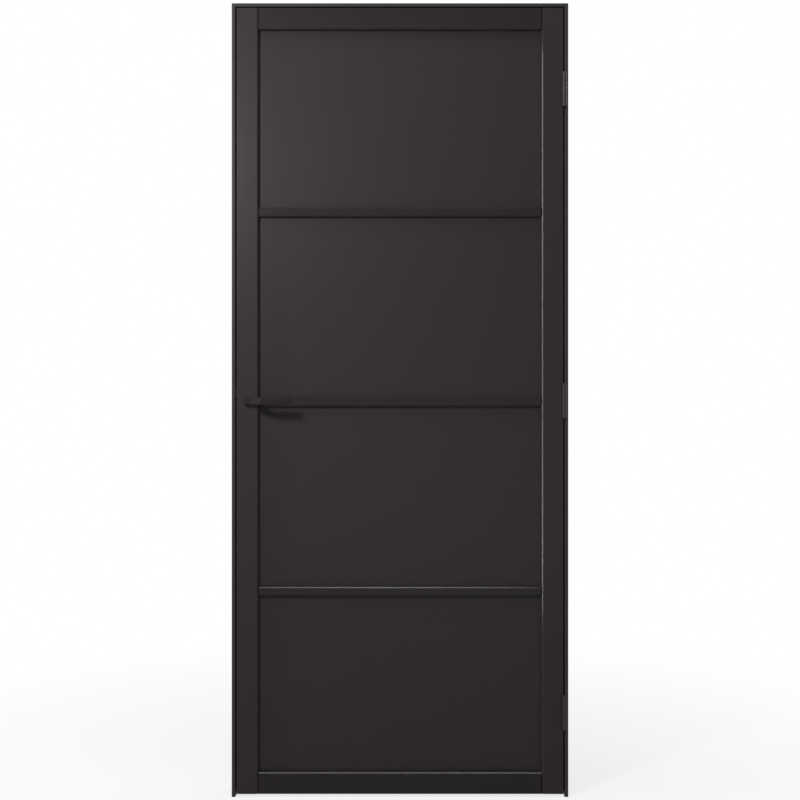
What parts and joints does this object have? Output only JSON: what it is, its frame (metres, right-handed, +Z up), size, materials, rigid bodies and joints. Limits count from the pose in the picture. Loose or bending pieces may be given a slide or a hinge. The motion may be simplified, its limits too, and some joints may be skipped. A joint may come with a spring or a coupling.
{
  "type": "panelled door",
  "caption": "Black panelled door leaf with slim cross bars and a flat lever handle, hung in a narrow folded-steel frame.",
  "frame": {"origin": "floor level, middle of the leaf's width, middle of the leaf's thickness", "axes": "+X towards the hinges, the front of the leaf faces -Y, +Z up"},
  "size_m": [0.906, 0.152, 2.136],
  "materials": {
    "leaf_lacquer": "matt black lacquer",
    "frame_coat": "fine matt black coat",
    "hinge_coat": "matt black coat",
    "lever_coat": "matt black coat",
    "plate_coat": "matt black coat",
    "screw_black": "black oxide",
    "zinc_steel": "zinc plated",
    "latch_steel": "black nickel plated, satin",
    "spring_steel": "bright drawn",
    "seal_rubber": "matt",
    "dowel_wood": "plain beech"
  },
  "bodies": {
    "frame": {"hinge_jamb": "frame_coat", "lock_jamb": "frame_coat", "head_jamb": "frame_coat", "hinge_corner_cleat": "zinc_steel", "lock_corner_cleat": "zinc_steel", "corner_screws": "screw_black", "hinge_side_seal": "seal_rubber", "lock_side_seal": "seal_rubber", "head_seal": "seal_rubber", "strike_plate": "plate_coat", "strike_box": "zinc_steel", "strike_screws": "screw_black", "top_hinge_backing": "zinc_steel", "middle_hinge_backing": "zinc_steel", "bottom_hinge_backing": "zinc_steel", "top_hinge_frame_plate": "hinge_coat", "middle_hinge_frame_plate": "hinge_coat", "bottom_hinge_frame_plate": "hinge_coat", "top_hinge_pin": "hinge_coat", "middle_hinge_pin": "hinge_coat", "bottom_hinge_pin": "hinge_coat", "hinge_plugs": "hinge_coat", "hinge_bearings": "screw_black", "hinge_frame_screws": "screw_black"},
    "leaf": {"hinge_stile": "leaf_lacquer", "lock_stile": "leaf_lacquer", "top_rail": "leaf_lacquer", "bottom_rail": "leaf_lacquer", "upper_bar": "leaf_lacquer", "middle_bar": "leaf_lacquer", "lower_bar": "leaf_lacquer", "top_panel": "leaf_lacquer", "upper_panel": "leaf_lacquer", "lower_panel": "leaf_lacquer", "bottom_panel": "leaf_lacquer", "rail_dowels": "dowel_wood", "bar_dowels": "dowel_wood", "top_hinge_leaf_plate": "hinge_coat", "middle_hinge_leaf_plate": "hinge_coat", "bottom_hinge_leaf_plate": "hinge_coat", "hinge_leaf_screws": "screw_black", "lock_case": "zinc_steel", "lock_cover": "zinc_steel", "lock_faceplate": "plate_coat", "faceplate_screws": "screw_black", "latch_spring": "spring_steel", "return_spring": "spring_steel", "front_bush": "lever_coat", "back_bush": "lever_coat"},
    "handle": {"front_lever": "lever_coat", "back_lever": "lever_coat", "spindle": "zinc_steel", "set_screws": "screw_black", "lock_follower": "zinc_steel"},
    "latch": {"latch_bolt": "latch_steel"}
  },
  "joints": [
    {"name": "leaf_swing", "type": "hinge", "parent": "frame", "child": "leaf", "pos_m": [0.4415, -0.0265, 1.0655], "axis": [0, 0, 1], "range_deg": [0, 170]},
    {"name": "handle_turn", "type": "hinge", "parent": "leaf", "child": "handle", "pos_m": [-0.41, 0, 1.065], "axis": [0, 1, 0], "range_deg": [0, 35], "stiffness_Nm_per_rad": 1.5, "springref_deg": -28.65, "deforming": ["return_spring"]},
    {"name": "latch_slide", "type": "slide", "parent": "leaf", "child": "latch", "axis": [1, 0, 0], "range_m": [0, 0.009], "deforming": ["latch_spring"]}
  ],
  "couplings": [
    {"joint": "latch_slide", "follows": "handle_turn", "m_per_rad": 0.01473}
  ]
}
